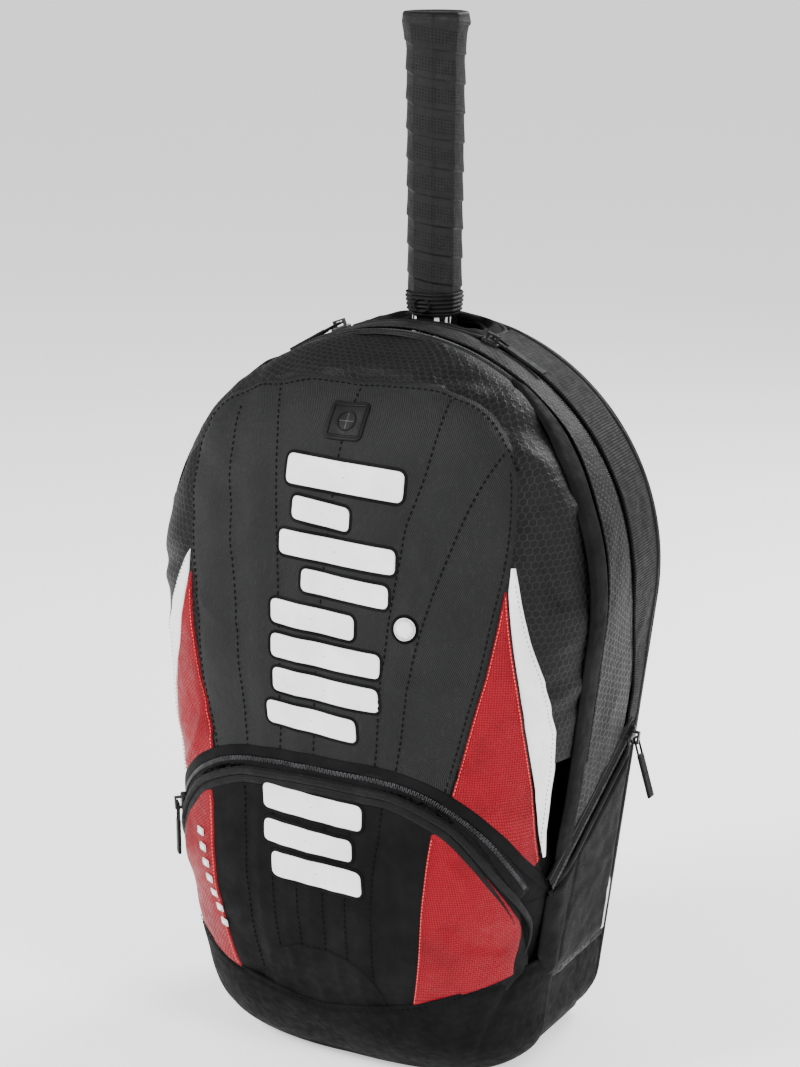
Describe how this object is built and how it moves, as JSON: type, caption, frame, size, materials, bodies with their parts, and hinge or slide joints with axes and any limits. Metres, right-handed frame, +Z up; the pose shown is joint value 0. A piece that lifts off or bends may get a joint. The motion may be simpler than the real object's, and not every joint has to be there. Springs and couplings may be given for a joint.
{
  "type": "racket backpack",
  "caption": "Domed soft backpack with folding front panel, zipped front and side pockets, padded back and straps, and a rear compartment that holds a racket with its grip out of the top.",
  "frame": {"origin": "on the surface that the pack stands on, midway between its two sides", "axes": "+Z up; the front faces -Y; +X is to the right of a person who looks at the front"},
  "size_m": [0.3423, 0.2212, 0.715],
  "materials": {
    "black_nylon": "woven nylon",
    "grey_twill": "twill",
    "ripstop": "honeycomb ripstop",
    "boot_cloth": "coated cloth",
    "mesh": "spacer mesh",
    "webbing": "ribbed webbing",
    "zip_coil": "coil zip tape",
    "slider_metal": "satin black",
    "pull_rubber": "matt",
    "port_rubber": "matt",
    "board": "matt",
    "frame_paint": "gloss lacquer",
    "strings": "polyester string",
    "overgrip": "perforated overgrip",
    "buckle": "acetal"
  },
  "bodies": {
    "bag": {"base_boot": "boot_cloth", "base_board": "board", "lower_front_panel": "black_nylon", "pocket_zip": "zip_coil", "pocket_rear_wall": "black_nylon", "main_zip": "zip_coil", "top_gusset": "ripstop", "side_gusset_right": "ripstop", "side_gusset_left": "ripstop", "racket_zip": "zip_coil", "rear_gusset": "black_nylon", "divider_panel": "black_nylon", "back_panel": "mesh", "frame_sheet": "board", "back_pad_right": "mesh", "back_pad_left": "mesh", "lumbar_pad": "mesh", "strap_yoke": "black_nylon", "haul_loop_tab": "webbing", "lower_anchor_right": "webbing", "lower_anchor_left": "webbing", "strap_webbing_right": "webbing", "strap_webbing_left": "webbing", "side_zip_right": "zip_coil", "side_zip_left": "zip_coil"},
    "front_panel": {"front_panel": "grey_twill", "cable_port": "port_rubber"},
    "front_pocket": {"pocket_front": "grey_twill"},
    "side_pocket_right": {"side_pocket_right": "black_nylon"},
    "side_pocket_left": {"side_pocket_left": "black_nylon"},
    "racket": {"racket_frame": "frame_paint", "racket_strings": "strings", "racket_grip": "overgrip", "butt_cap": "overgrip", "grip_collar": "overgrip"},
    "shoulder_strap_right": {"shoulder_pad_right": "mesh"},
    "shoulder_strap_left": {"shoulder_pad_left": "mesh"},
    "ladder_lock_right": {"ladder_lock_right": "buckle"},
    "ladder_lock_left": {"ladder_lock_left": "buckle"},
    "haul_loop": {"haul_loop": "webbing"},
    "zip_slider_racket_right": {"zip_slider_racket_right": "slider_metal"},
    "zip_pull_racket_right": {"zip_pull_racket_right": "pull_rubber"},
    "zip_slider_racket_left": {"zip_slider_racket_left": "slider_metal"},
    "zip_pull_racket_left": {"zip_pull_racket_left": "pull_rubber"},
    "zip_slider_main_high": {"zip_slider_main_high": "slider_metal"},
    "zip_pull_main_high": {"zip_pull_main_high": "pull_rubber"},
    "zip_slider_main_low": {"zip_slider_main_low": "slider_metal"},
    "zip_pull_main_low": {"zip_pull_main_low": "pull_rubber"},
    "zip_slider_front_pocket": {"zip_slider_front_pocket": "slider_metal"},
    "zip_pull_front_pocket": {"zip_pull_front_pocket": "pull_rubber"},
    "zip_slider_side_right": {"zip_slider_side_right": "slider_metal"},
    "zip_pull_side_right": {"zip_pull_side_right": "pull_rubber"},
    "zip_slider_side_left": {"zip_slider_side_left": "slider_metal"},
    "zip_pull_side_left": {"zip_pull_side_left": "pull_rubber"}
  },
  "joints": [
    {"name": "racket_right_zip", "type": "hinge", "parent": "bag", "child": "zip_slider_racket_right", "pos_m": [0, 0.04, 0.345], "axis": [0, 1, 0], "range_deg": [0, 63]},
    {"name": "racket_right_pull", "type": "hinge", "parent": "zip_slider_racket_right", "child": "zip_pull_racket_right", "pos_m": [0.05936, 0.04, 0.50377], "axis": [0, -1, 0], "range_deg": [0, 150]},
    {"name": "racket_left_zip", "type": "hinge", "parent": "bag", "child": "zip_slider_racket_left", "pos_m": [0, 0.04, 0.345], "axis": [0, -1, 0], "range_deg": [0, 63]},
    {"name": "racket_left_pull", "type": "hinge", "parent": "zip_slider_racket_left", "child": "zip_pull_racket_left", "pos_m": [-0.05936, 0.04, 0.50377], "axis": [0, 1, 0], "range_deg": [0, 150]},
    {"name": "main_high_zip", "type": "hinge", "parent": "bag", "child": "zip_slider_main_high", "pos_m": [0, 0, 0.345], "axis": [0, 1, 0], "range_deg": [0, 26.5]},
    {"name": "main_high_pull", "type": "hinge", "parent": "zip_slider_main_high", "child": "zip_pull_main_high", "pos_m": [-0.16834, 0, 0.32524], "axis": [0, 1, 0], "range_deg": [0, 110]},
    {"name": "main_low_zip", "type": "slide", "parent": "bag", "child": "zip_slider_main_low", "axis": [0.1277, 0, -0.9918], "range_m": [0, 0.04]},
    {"name": "main_low_pull", "type": "hinge", "parent": "zip_slider_main_low", "child": "zip_pull_main_low", "pos_m": [-0.16191, 0, 0.27517], "axis": [0, 1, 0], "range_deg": [0, 85]},
    {"name": "front_pocket_zip", "type": "slide", "parent": "front_pocket", "child": "zip_slider_front_pocket", "axis": [0.1773, -0.2677, 0.947], "range_m": [0, 0.018]},
    {"name": "front_pocket_pull", "type": "hinge", "parent": "zip_slider_front_pocket", "child": "zip_pull_front_pocket", "pos_m": [-0.12492, -0.07813, 0.1766], "axis": [-0.6795, 0.7337, 0], "range_deg": [0, 110]},
    {"name": "side_right_zip", "type": "slide", "parent": "side_pocket_right", "child": "zip_slider_side_right", "axis": [-0.0771, -0.7972, -0.5988], "range_m": [0, 0.085]},
    {"name": "side_right_pull", "type": "hinge", "parent": "zip_slider_side_right", "child": "zip_pull_side_right", "pos_m": [0.15754, 0.073, 0.22557], "axis": [0, -1, 0], "range_deg": [0, 95]},
    {"name": "side_left_zip", "type": "slide", "parent": "side_pocket_left", "child": "zip_slider_side_left", "axis": [0.0771, -0.7972, -0.5988], "range_m": [0, 0.085]},
    {"name": "side_left_pull", "type": "hinge", "parent": "zip_slider_side_left", "child": "zip_pull_side_left", "pos_m": [-0.15754, 0.073, 0.22557], "axis": [0, 1, 0], "range_deg": [0, 95]},
    {"name": "racket_lift", "type": "slide", "parent": "bag", "child": "racket", "axis": [0, 0, 1], "range_m": [0, 0.08]},
    {"name": "front_panel_fold", "type": "hinge", "parent": "bag", "child": "front_panel", "pos_m": [0, -0.1, 0.24], "axis": [1, 0, 0], "range_deg": [0, 70]},
    {"name": "front_pocket_fold", "type": "hinge", "parent": "bag", "child": "front_pocket", "pos_m": [0, -0.093, 0.064], "axis": [1, 0, 0], "range_deg": [0, 35]},
    {"name": "side_pocket_right_fold", "type": "hinge", "parent": "bag", "child": "side_pocket_right", "pos_m": [0.13808, 0.02, 0.071], "axis": [0, 1, 0], "range_deg": [0, 20]},
    {"name": "side_pocket_left_fold", "type": "hinge", "parent": "bag", "child": "side_pocket_left", "pos_m": [-0.13808, 0.02, 0.071], "axis": [0, -1, 0], "range_deg": [0, 20]},
    {"name": "strap_right_swing", "type": "hinge", "parent": "bag", "child": "shoulder_strap_right", "pos_m": [0.064, 0.108, 0.462], "axis": [1, 0, 0], "range_deg": [0, 15]},
    {"name": "ladder_lock_right_tilt", "type": "hinge", "parent": "shoulder_strap_right", "child": "ladder_lock_right", "pos_m": [0.064, 0.108, 0.203], "axis": [1, 0, 0], "range_deg": [0, 45]},
    {"name": "strap_left_swing", "type": "hinge", "parent": "bag", "child": "shoulder_strap_left", "pos_m": [-0.064, 0.108, 0.462], "axis": [1, 0, 0], "range_deg": [0, 15]},
    {"name": "ladder_lock_left_tilt", "type": "hinge", "parent": "shoulder_strap_left", "child": "ladder_lock_left", "pos_m": [-0.064, 0.108, 0.203], "axis": [1, 0, 0], "range_deg": [0, 45]},
    {"name": "haul_loop_swing", "type": "hinge", "parent": "bag", "child": "haul_loop", "pos_m": [0, 0.1032, 0.486], "axis": [1, 0, 0], "range_deg": [0, 150]}
  ]
}
